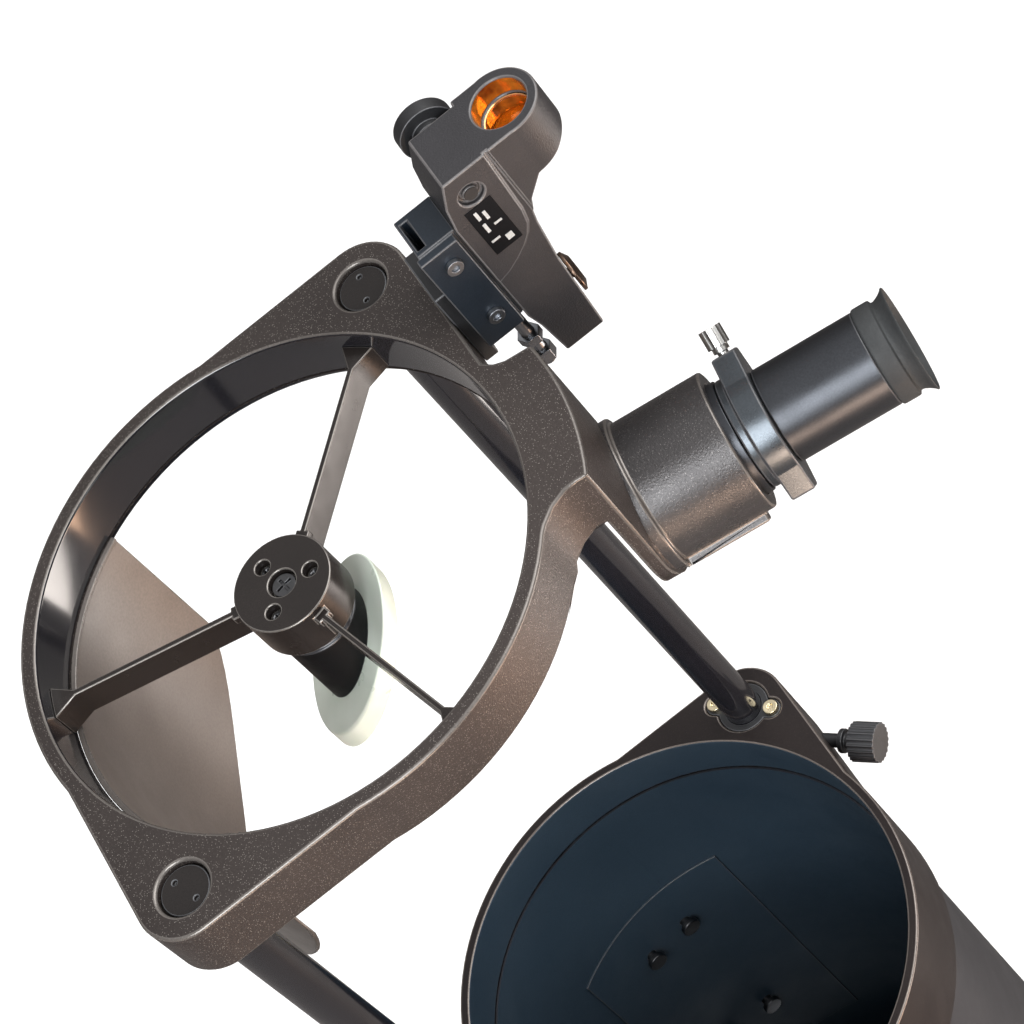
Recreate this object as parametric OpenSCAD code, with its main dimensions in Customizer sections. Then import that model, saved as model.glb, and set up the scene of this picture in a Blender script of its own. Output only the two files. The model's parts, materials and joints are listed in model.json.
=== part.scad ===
// Collapsible tabletop Newtonian telescope on a one-armed rocker mount.
// Millimetres, +Z up. The origin is on the table under the azimuth bolt.
// The altitude axis is along X and the tube leans towards -Y at rest.

/* [Mount] */
// Radius of the board that stands on the feet
ground_radius = 182; // [160:1:220]
// Radius of the board that turns
turntable_radius = 178; // [165:1:215]
// Thickness of both round boards
board_thick = 15; // [12:1:22]
// Height of the rubber feet
foot_height = 20; // [12:1:30]
// Radius of each foot
foot_radius = 19; // [12:1:28]
// Distance of the feet and glide pads from the centre
foot_circle = 146; // [110:1:160]
// Thickness of the glide pads between the boards
glide_thick = 3; // [2:0.5:5]
// Radius of the azimuth bolt
azimuth_bolt_radius = 5; // [4:0.5:8]
// Height of the altitude axis above the table
pivot_height = 286; // [282:1:330]
// Thickness of the side arm
arm_thick = 18; // [15:1:25]
// Half width of the arm's foot
arm_foot_half = 82; // [60:1:95]
// Radius of the arm's round head
arm_head_radius = 46; // [38:1:60]
// Length of the arm's hand hole
hand_hole_length = 84; // [70:1:90]
// Height of the arm's hand hole
hand_hole_height = 32; // [26:1:40]
// Radius of the altitude shaft
altitude_shaft_radius = 6; // [5:0.5:9]
// Radius of the altitude bearing disc
altitude_disc_radius = 38; // [30:1:45]

/* [Tube] */
// Altitude of the tube at rest, in degrees
rest_altitude = 58.2; // [20:0.1:70]
// Distance from the front ring's face back to the altitude axis
pivot_back = 500; // [470:1:520]
// Outer radius of the main tube
tube_radius = 95.9; // [90:0.1:97]
// Wall of the main tube
tube_wall = 1.6; // [1:0.1:2.5]
// Distance from the front ring's face to the main tube's front edge
tube_front = 365; // [360:1:372]
// Length of the main tube
tube_length = 300; // [280:1:310]
// Radius of the primary mirror
primary_radius = 75; // [65:1:78]
// Thickness of the primary mirror
primary_thick = 22; // [15:1:25]
// Distance from the front ring's face to the primary mirror's face
primary_back = 626; // [610:1:632]

/* [Truss] */
// Inner radius of the front ring
ring_bore = 92; // [88:0.5:93]
// Outer radius of the front ring
ring_radius = 98.3; // [96:0.1:102]
// Depth of the front ring
ring_depth = 26; // [20:1:32]
// Distance of the truss rods from the optical axis
rod_circle = 111.3; // [109:0.1:116]
// Radius of the truss rods
rod_radius = 7.95; // [6:0.05:9]
// Length of the truss rods
rod_length = 393; // [388:1:400]
// Radius of the lugs that hold the rods
lug_radius = 18.1; // [15:0.1:20]
// Direction of the upper rod around the tube, in degrees
rod_angle = 125.2; // [120:0.1:130]
// Distance from the front ring's face to the lower ring's face
lower_ring_front = 340.4; // [336:0.1:346]
// Depth of the lower ring
lower_ring_depth = 45; // [40:1:50]
// Outer radius of the lower ring
lower_ring_radius = 99.6; // [98.5:0.1:103]
// Radial clearance of turning and sliding pins
running_gap = 0.05; // [0.02:0.01:0.1]
// Distance along the rod lock screws from the rod axis to the knob's middle
lock_knob_reach = 43; // [38:1:50]

/* [Focuser] */
// Direction of the focuser around the tube, in degrees
focuser_angle = 70.3; // [60:0.1:80]
// Distance from the front ring's face to the focuser's axis
focuser_back = 62.7; // [58:0.1:66]
// Outer radius of the focuser barrel
barrel_radius = 26.1; // [24:0.1:28]
// Distance of the barrel's rim from the optical axis
barrel_rim = 150; // [140:1:156]
// Outer radius of the drawtube
drawtube_radius = 21; // [19:0.1:22]
// Bore for the eyepiece
eyepiece_bore = 15.9; // [15.8:0.01:16]
// Radius of the eyepiece's body
eyepiece_radius = 17.5; // [16.5:0.1:20]
// Thickness of the turning collar
collar_thick = 9; // [7:0.5:12]

/* [Spider and secondary mirror] */
// Radius of the spider's hub
hub_radius = 18.3; // [15:0.1:21]
// Depth of the spider's hub
hub_depth = 18; // [14:1:20]
// Thickness of the vanes
vane_thick = 2.2; // [1.5:0.1:4]
// Depth of the vanes
vane_depth = 13; // [10:1:16]
// Half of the secondary mirror's short axis
secondary_radius = 26; // [22:0.5:28]
// Thickness of the secondary mirror
secondary_thick = 8; // [5:0.5:10]

/* [Finder] */
// Direction that the finder stands in, in degrees around the tube
finder_angle = 80.2; // [78:0.1:82]
// Sideways distance of the finder from that direction
finder_side = 49.9; // [45:0.1:54]
// Width of the finder's body
finder_width = 25.2; // [22:0.1:27]
// Radius of the finder's window
finder_window_radius = 10; // [9:0.1:11.5]

/* [Light shield] */
// Half of the angle that the light shield covers
shield_half_angle = 50.5; // [40:0.5:58]
// Distance from the front ring's face to the shield's rear edge
shield_back = 143.8; // [120:0.2:150]

/* [Hidden] */
$fn = 96;
ring_lug_reach = rod_circle / sqrt(2) + lug_radius;
lower_board_z = foot_height;
turntable_z = foot_height + board_thick + glide_thick;
turntable_top = turntable_z + board_thick;
tube_inner = tube_radius - tube_wall;
tube_rear = tube_front + tube_length;
lower_ring_rear = lower_ring_front + lower_ring_depth;
dovetail_face = -tube_radius - 16;
saddle_face = dovetail_face - 0.3;
saddle_back = saddle_face - 12;
disc_back = saddle_back - 6;
arm_inner = disc_back - 2;
arm_outer = arm_inner - arm_thick;
pad_seat = 110;
collar_seat = barrel_rim + 6;
finder_low = 96.85;
cap_radius = rod_radius + 1.05;
cap_well = cap_radius + 0.8;
plate_half = 29.6;
plate_inner = 104.5;
head_radius = finder_window_radius + 4.2;
head_offset = 0.8;
bracket_low = 102.35;
housing_low = 117.6;
bracket_rear = -17.3;
bracket_front = 36;
vane_front = 8;
bushing_half = 12.6;
lock_back = 371;
rear_cover = 18;
cell_front = primary_back + primary_thick;
cover_front = cell_front + 22;
knob_gap = 0.4;

// Origin at the centre of the front ring's face, +Z along the tube towards the sky.
module optics() {
  translate([0, 0, pivot_height])
    rotate([90 - rest_altitude, 0, 0])
      translate([0, 0, pivot_back])
        children();
}

// Origin on the optical axis, +Z out along the focuser, +X down the tube.
module focuser() {
  optics()
    translate([0, 0, -focuser_back])
      rotate([0, 0, focuser_angle])
        rotate([0, 90, 0])
          children();
}

// A round bar between two depths behind the front ring's face.
module bar(front, back, r) {
  translate([0, 0, -back])
    cylinder(r = r, h = back - front);
}

// A flat outline between two depths behind the front ring's face.
module slab(front, back) {
  translate([0, 0, -back])
    linear_extrude(back - front)
      children();
}

module pipe(front, back, r, bore) {
  difference() {
    bar(front, back, r);
    bar(front - 1, back + 1, bore);
  }
}

// A knurled knob: a toothed outline with a plain middle.
module knurled(r, h, teeth) {
  linear_extrude(h)
    union() {
      circle(r = r - 0.8);
      for (i = [0 : teeth - 1])
        rotate([0, 0, i * 360 / teeth])
          translate([r - 1.1, 0])
            circle(r = 1.1, $fn = 6);
    }
}

module lug_outline(body_radius) {
  shoulder = ring_lug_reach / sqrt(2);
  tip_x = rod_circle + lug_radius / sqrt(2);
  tip_y = lug_radius / sqrt(2);
  circle(r = body_radius);
  for (turn = [0, 180])
    rotate([0, 0, turn]) {
      translate([rod_circle, 0])
        circle(r = lug_radius);
      polygon([[shoulder, -shoulder], [tip_x, -tip_y], [tip_x, tip_y],
        [shoulder, shoulder]]);
    }
}

// Mount

module ground_board() {
  color([0.11, 0.11, 0.12])
    translate([0, 0, lower_board_z])
      difference() {
        cylinder(r = ground_radius, h = board_thick);
        translate([0, 0, -1])
          cylinder(r = azimuth_bolt_radius, h = board_thick + 2);
        for (a = [30, 150, 270])
          rotate([0, 0, a])
            translate([ground_radius + 46, 0, -1])
              cylinder(r = 70, h = board_thick + 2);
      }
}

module ground_feet() {
  color([0.05, 0.05, 0.05])
    for (a = [90, 210, 330])
      rotate([0, 0, a])
        translate([foot_circle, 0, 0]) {
          cylinder(r = foot_radius, h = 4);
          translate([0, 0, 4])
            cylinder(r = foot_radius - 3, h = foot_height - 4);
        }
}

module azimuth_bolt() {
  color([0.75, 0.75, 0.77])
    union() {
      translate([0, 0, lower_board_z - 5])
        cylinder(r = azimuth_bolt_radius * 1.9, h = 5);
      translate([0, 0, lower_board_z - 1])
        cylinder(r = azimuth_bolt_radius, h = turntable_top - lower_board_z + 13);
    }
}

module glide_pads() {
  color([0.9, 0.9, 0.88])
    for (a = [90, 210, 330])
      rotate([0, 0, a])
        translate([foot_circle - 14, 0, lower_board_z + board_thick])
          cylinder(r = 12, h = glide_thick - 0.05);
}

module turntable_board() {
  color([0.11, 0.11, 0.12])
    translate([0, 0, turntable_z])
      difference() {
        cylinder(r = turntable_radius, h = board_thick);
        translate([0, 0, -1])
          cylinder(r = azimuth_bolt_radius + running_gap, h = board_thick + 2);
        for (y = [-60, -20, 20, 60])
          translate([(arm_inner + arm_outer) / 2, y, -1])
            cylinder(r = 3, h = board_thick + 2);
        for (y = [-60, -20, 20, 60])
          translate([(arm_inner + arm_outer) / 2, y, -1])
            cylinder(r = 6, h = 5);
      }
}

module side_arm() {
  color([0.11, 0.11, 0.12])
    difference() {
      translate([arm_inner, 0, 0])
        rotate([90, 0, -90])
          linear_extrude(arm_thick)
            union() {
              translate([0, pivot_height])
                circle(r = arm_head_radius);
              polygon([[-arm_foot_half, turntable_top], [arm_foot_half, turntable_top],
                [arm_foot_half, turntable_top + 22],
                [arm_head_radius * 0.992, pivot_height - arm_head_radius * 0.12],
                [-arm_head_radius * 0.992, pivot_height - arm_head_radius * 0.12],
                [-arm_foot_half, turntable_top + 22]]);
            }
      translate([arm_inner + 1, 0, pivot_height])
        rotate([0, -90, 0])
          cylinder(r = altitude_shaft_radius + running_gap, h = arm_thick + 2);
      for (y = [-1, 1])
        translate([arm_inner + 1, y * (hand_hole_length - hand_hole_height) / 2,
          turntable_top + 96])
          rotate([0, -90, 0])
            cylinder(d = hand_hole_height, h = arm_thick + 2);
      translate([arm_outer - 1, -(hand_hole_length - hand_hole_height) / 2,
        turntable_top + 96 - hand_hole_height / 2])
        cube([arm_thick + 2, hand_hole_length - hand_hole_height, hand_hole_height]);
      for (y = [-60, -20, 20, 60])
        translate([(arm_inner + arm_outer) / 2, y, turntable_top - 1])
          cylinder(r = 3, h = 26);
    }
}

module arm_screws() {
  color([0.6, 0.6, 0.62])
    for (y = [-60, -20, 20, 60])
      translate([(arm_inner + arm_outer) / 2, y, turntable_z]) {
        cylinder(r = 3, h = board_thick + 24);
        cylinder(r = 5.8, h = 3.5);
      }
}

module azimuth_nut() {
  color([0.06, 0.06, 0.06])
    translate([0, 0, turntable_top + 0.4])
      difference() {
        union() {
          cylinder(r = 15, h = 2);
          translate([0, 0, 2])
            cylinder(r = 9, h = 8, $fn = 6);
        }
        translate([0, 0, -1])
          cylinder(r = azimuth_bolt_radius, h = 14);
      }
}

// A low-friction washer on the arm's inner face.
module friction_washer() {
  color([0.9, 0.9, 0.88])
    translate([arm_inner, 0, pivot_height])
      rotate([0, 90, 0])
        difference() {
          cylinder(r = altitude_disc_radius - 3, h = arm_gap());
          translate([0, 0, -1])
            cylinder(r = altitude_shaft_radius + 0.6, h = 5);
        }
}

function arm_gap() = disc_back - arm_inner - 0.05;

// Tube cradle on the altitude shaft

module altitude_bearing() {
  color([0.16, 0.16, 0.17])
    translate([saddle_back, 0, pivot_height])
      rotate([0, -90, 0])
        union() {
          cylinder(r = altitude_disc_radius, h = 6);
          cylinder(r = altitude_shaft_radius, h = 8 + arm_thick + 22);
        }
}

module tension_knob() {
  color([0.05, 0.05, 0.05])
    translate([arm_outer - 1, 0, pivot_height])
      rotate([0, -90, 0])
        difference() {
          union() {
            cylinder(r = 14, h = 4);
            translate([0, 0, 4])
              linear_extrude(18)
                union() {
                  circle(r = 17);
                  for (i = [0 : 5])
                    rotate([0, 0, i * 60])
                      translate([18, 0])
                        circle(r = 5);
                }
          }
          translate([0, 0, -1])
            cylinder(r = altitude_shaft_radius + running_gap, h = 30);
        }
}

module altitude_saddle() {
  color([0.13, 0.13, 0.14])
    optics()
      translate([0, 0, -pivot_back])
        difference() {
          translate([saddle_back, -36, -48])
            cube([saddle_face - saddle_back + 11, 70, 96]);
          // channel for the dovetail
          translate([0, 0, -50])
            linear_extrude(100)
              polygon([[saddle_face, -37], [saddle_face, 21.3], [saddle_face + 12, 16.3],
                [saddle_face + 12, -37]]);
          // cross bore for the clamp screw
          for (z = [0])
            translate([saddle_back + 6, -40, z])
              rotate([-90, 0, 0])
                cylinder(r = 3.05, h = 45);
        }
}

module saddle_jaw() {
  color([0.2, 0.2, 0.21])
    optics()
      translate([0, 0, -pivot_back])
        union() {
          translate([0, 0, -40])
            linear_extrude(80)
              polygon([[saddle_face + 0.2, -33], [saddle_face + 0.2, -21.4],
                [saddle_face + 11, -16.9], [saddle_face + 11, -33]]);
        }
}

// The head and shaft of the screw that closes the jaw.
module clamp_knob() {
  color([0.05, 0.05, 0.05])
    optics()
      translate([saddle_back + 6, -36.4, -pivot_back])
        rotate([90, 0, 0])
          union() {
            translate([0, 0, 4])
              knurled(12, 14, 24);
            cylinder(r = 5.8, h = 4.5);
            translate([0, 0, -34])
              cylinder(r = 3, h = 35);
          }
}

module dovetail_bar() {
  color([0.12, 0.12, 0.13])
    optics()
      difference() {
        translate([0, 0, -pivot_back - 90])
          linear_extrude(180)
            polygon([[dovetail_face, -21], [dovetail_face, 21], [dovetail_face + 12, 16],
              [dovetail_face + 12, 22], [-90, 22], [-90, -22], [dovetail_face + 12, -22],
              [dovetail_face + 12, -16]]);
        bar(pivot_back - 95, pivot_back + 95, tube_radius);
        for (w = [465, 560])
          for (y = [-10.5, 10.5])
            translate([dovetail_face - 1, y, -w])
              rotate([0, 90, 0])
                cylinder(r = 2.5, h = 40);
      }
}

module dovetail_screws() {
  color([0.35, 0.35, 0.37])
    optics()
      for (w = [465, 560])
        for (y = [-10.5, 10.5])
          translate([dovetail_face + 3, y, -w])
            rotate([0, 90, 0]) {
              cylinder(r = 2.5, h = 19.1);
              translate([0, 0, 19])
                cylinder(r = 4.4, h = 2.6);
            }
}

// Main tube

module main_tube() {
  color([0.1, 0.1, 0.12])
    optics()
      difference() {
        pipe(tube_front, tube_rear, tube_radius, tube_inner);
        for (w = [465, 560])
          for (y = [-10.5, 10.5])
            translate([-tube_radius - 2, y, -w])
              rotate([0, 90, 0])
                cylinder(r = 2.5, h = 10);
      }
}

// A stiffening sheet inside the tube behind the dovetail.
module tube_liner() {
  color([0.07, 0.08, 0.09])
    optics()
      difference() {
        intersection() {
          pipe(434, 606, tube_inner, tube_inner - 1);
          slab(430, 610)
            polygon([[0, 0], [-130, -61.2], [-130, 61.2]]);
        }
        for (w = [465, 560])
          for (y = [-10.5, 10.5])
            translate([-tube_radius - 2, y, -w])
              rotate([0, 90, 0])
                cylinder(r = 2.5, h = 14);
      }
}

module lower_ring() {
  color([0.17, 0.14, 0.13])
    optics()
      difference() {
        slab(lower_ring_front, lower_ring_rear)
          rotate([0, 0, rod_angle])
            lug_outline(lower_ring_radius);
        bar(lower_ring_front - 1, lower_ring_rear + 1, tube_inner + 0.9);
        bar(tube_front, lower_ring_rear + 1, tube_radius);
        for (turn = [0, 180])
          rotate([0, 0, rod_angle + turn]) {
            translate([rod_circle, 0, 0])
              bar(lower_ring_front - 1, lower_ring_rear + 1, rod_radius + 2);
            // oval recess for the bushing flange
            slab(lower_ring_front - 1, lower_ring_front + 3)
              oval_flange(0);
            // threaded way for the lock screw
            translate([rod_circle, 0, -lock_back])
              rotate([90, 0, 0])
                cylinder(r = 3 + running_gap, h = 40);
          }
      }
}

module oval_flange(gap) {
  translate([rod_circle, 0])
    union() {
      circle(r = rod_radius + 3.2 - gap);
      for (s = [-1, 1])
        translate([0, s * bushing_half])
          circle(r = 4.4 - gap);
      square([8.8 - 2 * gap, 2 * bushing_half], center = true);
    }
}

module rod_bushings() {
  color([0.08, 0.08, 0.09])
    optics()
      for (turn = [0, 180])
        rotate([0, 0, rod_angle + turn])
          difference() {
            union() {
              slab(lower_ring_front + 0.6, lower_ring_front + 3)
                oval_flange(0.2);
              translate([rod_circle, 0, 0])
                bar(lower_ring_front + 0.6, lower_ring_rear, rod_radius + 2);
            }
            translate([rod_circle, 0, 0])
              bar(lower_ring_front - 1, lower_ring_rear + 1, rod_radius + running_gap);
            translate([rod_circle, 0, -lock_back])
              rotate([90, 0, 0])
                cylinder(r = 3 + running_gap, h = 40);
          }
}

module bushing_screws() {
  color([0.85, 0.75, 0.55])
    optics()
      for (turn = [0, 180])
        rotate([0, 0, rod_angle + turn])
          for (s = [-1, 1])
            translate([rod_circle, s * (bushing_half + 0.2), 0])
              difference() {
                bar(lower_ring_front - 1.4, lower_ring_front + 0.6, 3.2);
                bar(lower_ring_front - 2, lower_ring_front - 0.4, 1.2);
              }
}

module lock_knob(turn) {
  optics()
    rotate([0, 0, rod_angle + turn])
      translate([rod_circle, 0, -lock_back])
        rotate([90, 0, 0])
          union() {
            translate([0, 0, rod_radius + 0.4])
              cylinder(r = 3, h = lock_knob_reach - 6 - rod_radius);
            translate([0, 0, 32.2])
              cylinder(r = 5.2, h = 2.2);
            translate([0, 0, lock_knob_reach - 7])
              cylinder(r = 4.6, h = 3);
            translate([0, 0, lock_knob_reach - 5])
              knurled(8.6, 12, 20);
          }
}

module lock_knob_a() {
  color([0.06, 0.06, 0.07])
    lock_knob(0);
}

module lock_knob_b() {
  color([0.06, 0.06, 0.07])
    lock_knob(180);
}

// Rear end of the tube

module rear_ring() {
  color([0.17, 0.14, 0.13])
    optics()
      difference() {
        bar(tube_rear - rear_cover, cover_front + 7, lower_ring_radius);
        bar(tube_rear - rear_cover - 1, tube_rear, tube_radius);
        bar(tube_rear - 1, cover_front, tube_radius - 5);
        // vents round the centre
        for (a = [30, 150, 270])
          rotate([0, 0, a])
            translate([44, 0, 0])
              bar(cover_front - 1, cover_front + 8, 19);
        bar(cover_front - 1, cover_front + 8, 14);
        for (a = [90, 210, 330])
          rotate([0, 0, a]) {
            translate([62, 0, 0])
              bar(cover_front - 1, cover_front + 8, 3 + running_gap);
            rotate([0, 0, 22])
              translate([62, 0, 0])
                bar(cover_front - 1, cover_front + 8, 2);
          }
      }
}

module mirror_cell() {
  color([0.3, 0.3, 0.31])
    optics()
      difference() {
        union() {
          bar(cell_front, cell_front + 8, primary_radius + 4);
          for (a = [30, 150, 270])
            rotate([0, 0, a])
              translate([primary_radius + 0.4, -8, -cell_front - 8])
                cube([5.6, 16, primary_thick + 8]);
        }
        for (a = [30, 150, 270])
          rotate([0, 0, a])
            translate([42, 0, 0])
              bar(cell_front - 1, cell_front + 9, 20);
        bar(cell_front - 1, cell_front + 9, 15);
      }
}

module primary_mirror() {
  color([0.8, 0.83, 0.86])
    optics()
      difference() {
        bar(primary_back, cell_front, primary_radius);
        translate([0, 0, -primary_back])
          difference() {
            cylinder(r = primary_radius + 2, h = 4, center = true);
            translate([0, 0, -3])
              cylinder(r1 = primary_radius + 1.5, r2 = primary_radius - 4.5, h = 6);
          }
      }
}

module mirror_clips() {
  color([0.2, 0.2, 0.21])
    optics()
      for (a = [30, 150, 270])
        rotate([0, 0, a])
          translate([primary_radius - 5, -7, -primary_back + 0.1])
            cube([11, 14, 2]);
}

module cell_springs() {
  color([0.7, 0.7, 0.72])
    optics()
      for (a = [90, 210, 330])
        rotate([0, 0, a])
          translate([62, 0, 0])
            pipe(cell_front + 8, cover_front, 6.5, 4.5);
}

module collimation_knob(a) {
  optics()
    rotate([0, 0, a])
      translate([62, 0, 0])
        union() {
          bar(cell_front + 8.1, cover_front + 9, 3);
          translate([0, 0, -cover_front - 20])
            knurled(9, 12.6, 20);
        }
}

module collimation_knob_1() {
  color([0.07, 0.07, 0.08])
    collimation_knob(90);
}

module collimation_knob_2() {
  color([0.07, 0.07, 0.08])
    collimation_knob(210);
}

module collimation_knob_3() {
  color([0.07, 0.07, 0.08])
    collimation_knob(330);
}

module cell_lock_screws() {
  color([0.6, 0.6, 0.62])
    optics()
      for (a = [112, 232, 352])
        rotate([0, 0, a])
          translate([62, 0, 0]) {
            bar(cell_front + 8, cover_front + 9, 2);
            bar(cover_front + 7, cover_front + 11, 4);
          }
}

// Front ring and its truss

module upper_ring() {
  color([0.3, 0.27, 0.25])
    optics()
      difference() {
        union() {
          slab(0, ring_depth)
            rotate([0, 0, rod_angle])
              lug_outline(ring_radius);
          // block that carries the focuser
          intersection() {
            bar(0, focuser_back + plate_half + 1, 114);
            rotate([0, 0, focuser_angle])
              union() {
                // web between the ring and the plate, with a hollow curve below
                slab(0, ring_depth)
                  polygon([[60, -46], [86, -46], [88.4, -42.4], [91, -38.4],
                    [95.4, -33.8], [101.3, -30.5], [106, -plate_half],
                    [120, -plate_half], [120, plate_half], [100, plate_half],
                    [96, 30.8], [91.6, 34.2], [60, 34.2]]);
                // plate that carries the barrel
                translate([plate_inner, 0, 0])
                  rotate([0, 90, 0])
                    linear_extrude(20)
                      union() {
                        translate([0, -plate_half])
                          square([focuser_back, 2 * plate_half]);
                        translate([focuser_back, 0])
                          circle(r = plate_half);
                      }
              }
          }
        }
        bar(-1, ring_depth + 0.5, ring_bore);
        // shallow step at the rear edge of the bore
        bar(ring_depth - 3.4, ring_depth + 0.5, ring_bore + 0.9);
        bar(ring_depth, focuser_back + 40, ring_bore + 4);
        for (turn = [0, 180])
          rotate([0, 0, rod_angle + turn])
            translate([rod_circle, 0, 0]) {
              bar(-1, 5, cap_well);
              bar(4, ring_depth + 1, rod_radius);
            }
        // seat and bore of the focuser barrel
        translate([0, 0, -focuser_back])
          rotate([0, 0, focuser_angle])
            rotate([0, 90, 0]) {
              translate([0, 0, pad_seat])
                cylinder(r = 28.6, h = 10);
              translate([0, 0, 60])
                cylinder(r = drawtube_radius + 1, h = 60);
            }
      }
}

module spider_hub() {
  color([0.24, 0.21, 0.19])
    optics()
      difference() {
        union() {
          bar(4.9, 4.9 + hub_depth, hub_radius);
          intersection() {
            bar(4, ring_depth, ring_bore);
            for (a = [0, 120, 240])
              rotate([0, 0, rod_angle + a]) {
                slab(vane_front, vane_front + vane_depth)
                  polygon([[0, -vane_thick / 2], [ring_bore - 9, -vane_thick / 2],
                    [ring_bore, -6.5], [ring_bore + 4, -6.5], [ring_bore + 4, 6.5],
                    [ring_bore, 6.5], [ring_bore - 9, vane_thick / 2],
                    [0, vane_thick / 2]]);
                // small tab where a vane meets the hub
                translate([hub_radius - 2, -2.6, -vane_front - 3.4])
                  cube([5, 5.2, 3.4]);
              }
          }
        }
        // front recess with the three tilt screws
        bar(0, 8.6, 5.2);
        bar(0, 40, 2.55);
        for (a = [60, 180, 300])
          rotate([0, 0, rod_angle + a])
            translate([10.8, 0, 0]) {
              bar(0, 9.4, 2.8);
              bar(0, 40, 2.05);
            }
      }
}

module truss_rod(turn) {
  optics()
    rotate([0, 0, rod_angle + turn])
      translate([rod_circle, 0, 0])
        bar(5, 5 + rod_length, rod_radius);
}

module truss_rod_a() {
  color([0.05, 0.05, 0.06])
    truss_rod(0);
}

module truss_rod_b() {
  color([0.05, 0.05, 0.06])
    truss_rod(180);
}

module rod_caps() {
  color([0.13, 0.12, 0.12])
    optics()
      for (turn = [0, 180])
        rotate([0, 0, rod_angle + turn])
          translate([rod_circle, 0, 0])
            difference() {
              bar(1.9, 5, cap_radius);
              for (s = [-1, 1])
                rotate([0, 0, turn == 0 ? 31.7 : 66])
                  translate([s * 5.4, 0, 0])
                    bar(0, 3.6, 0.9);
            }
}

// Rubber stops that keep the rods from pulling out.
module rod_stops() {
  color([0.05, 0.05, 0.05])
    optics()
      for (turn = [0, 180])
        rotate([0, 0, rod_angle + turn])
          translate([rod_circle, 0, 0])
            difference() {
              bar(lower_ring_rear + 1.5, 5 + rod_length + 3, rod_radius + 3);
              bar(lower_ring_rear, 5 + rod_length, rod_radius);
            }
}

// A curved sheet opposite the focuser.
module light_shield() {
  color([0.4, 0.37, 0.34])
    optics()
      intersection() {
        union() {
          pipe(22, shield_back, ring_bore - 0.4, ring_bore - 1.6);
          // folded front hem
          pipe(22, 23.4, ring_bore - 0.4, ring_bore - 2.6);
        }
        rotate([0, 0, focuser_angle + 180])
          slab(10, shield_back + 5)
            polygon([[0, 0], [60, -60 * tan(shield_half_angle)], [120, -120],
              [120, 120], [60, 60 * tan(shield_half_angle)]]);
        // rounded rear corners
        rotate([0, 0, focuser_angle + 180])
          rotate([0, 90, 0])
            linear_extrude(110)
              polygon(concat([[0, -95], [shield_back - 70, -95]],
                [for (t = [0 : 6 : 90]) [shield_back - 66 + 66 * sin(t),
                  -20 - 51 * pow(cos(t), 1.15)]],
                [for (t = [90 : -6 : 0]) [shield_back - 66 + 66 * sin(t),
                  20 + 51 * pow(cos(t), 1.15)]],
                [[shield_back - 70, 95], [0, 95]]));
      }
}

// Focuser

module focuser_barrel() {
  color([0.3, 0.27, 0.25])
    focuser()
      difference() {
        union() {
          translate([0, 0, pad_seat])
            cylinder(r = 28.5, h = 5);
          translate([0, 0, pad_seat + 4])
            cylinder(r = barrel_radius, h = barrel_rim - pad_seat - 4);
          // stiffening rib on the lower side
          rotate([0, 0, -51])
            translate([barrel_radius - 2, -4, pad_seat + 4])
              cube([5, 8, barrel_rim - pad_seat - 8]);
        }
        translate([0, 0, pad_seat - 1])
          cylinder(r = drawtube_radius + running_gap, h = 60);
      }
}

module drawtube() {
  color([0.07, 0.07, 0.08])
    focuser()
      difference() {
        translate([0, 0, 104])
          cylinder(r = drawtube_radius, h = collar_seat - 104 - 3.5);
        translate([0, 0, 103])
          cylinder(r = eyepiece_bore + 2, h = 60);
      }
}

module focus_collar() {
  color([0.17, 0.18, 0.2])
    focuser()
      difference() {
        union() {
          // body with flats between its lugs
          translate([0, 0, collar_seat])
            linear_extrude(collar_thick)
              rotate([0, 0, -51])
                union() {
                  circle(r = 21.6);
                  polygon([[27, -6.5], [27, 6.5], [6, 20.4], [-6, 20.4], [-27, 6.5],
                    [-27, -6.5], [-6, -20.4], [6, -20.4]]);
                  translate([-6, 10])
                    square([12, 14.6]);
                }
          translate([0, 0, collar_seat - 3.2])
            cylinder(r = 20.4, h = 3.6);
          translate([0, 0, 132])
            cylinder(r = eyepiece_bore + 2 - 0.05, h = 26);
        }
        translate([0, 0, 120])
          cylinder(r = eyepiece_bore, h = 60);
        for (a = [129, 39])
          rotate([0, 0, a])
            translate([0, 0, collar_seat + collar_thick / 2])
              rotate([0, 90, 0])
                cylinder(r = 2 + running_gap, h = 40);
      }
}

module thumbscrew(a) {
  focuser()
    rotate([0, 0, a])
      translate([0, 0, collar_seat + collar_thick / 2])
        rotate([0, 90, 0])
          union() {
            translate([0, 0, eyepiece_bore + 0.2])
              cylinder(r = 2, h = 14);
            translate([0, 0, 28])
              cylinder(r = 3, h = 2);
            translate([0, 0, 30])
              knurled(4.2, 7, 14);
          }
}

module thumbscrew_a() {
  color([0.75, 0.75, 0.76])
    thumbscrew(129);
}

module thumbscrew_b() {
  color([0.75, 0.75, 0.76])
    thumbscrew(39);
}

module eyepiece_body() {
  color([0.06, 0.06, 0.07])
    focuser()
      difference() {
        union() {
          translate([0, 0, collar_seat - 20])
            cylinder(r = eyepiece_bore - running_gap, h = 24 + collar_thick);
          translate([0, 0, collar_seat + collar_thick + 0.3])
            cylinder(r = eyepiece_radius, h = 204 - collar_seat - collar_thick - 0.3);
        }
        translate([0, 0, collar_seat - 30])
          cylinder(r = 12.5, h = 90);
      }
}

module eyecup() {
  color([0.05, 0.05, 0.05])
    focuser()
      rotate_extrude()
        polygon([[12.5, 204], [17.2, 204], [18.2, 207], [18.4, 214], [19.6, 217],
          [17.6, 217], [15.8, 212], [12.5, 209]]);
}

module eyepiece_lenses() {
  color([0.45, 0.5, 0.62, 0.6])
    focuser() {
      translate([0, 0, 200])
        cylinder(r = 12.5, h = 4);
      translate([0, 0, 170])
        cylinder(r = 12.5, h = 6);
    }
}

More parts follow.
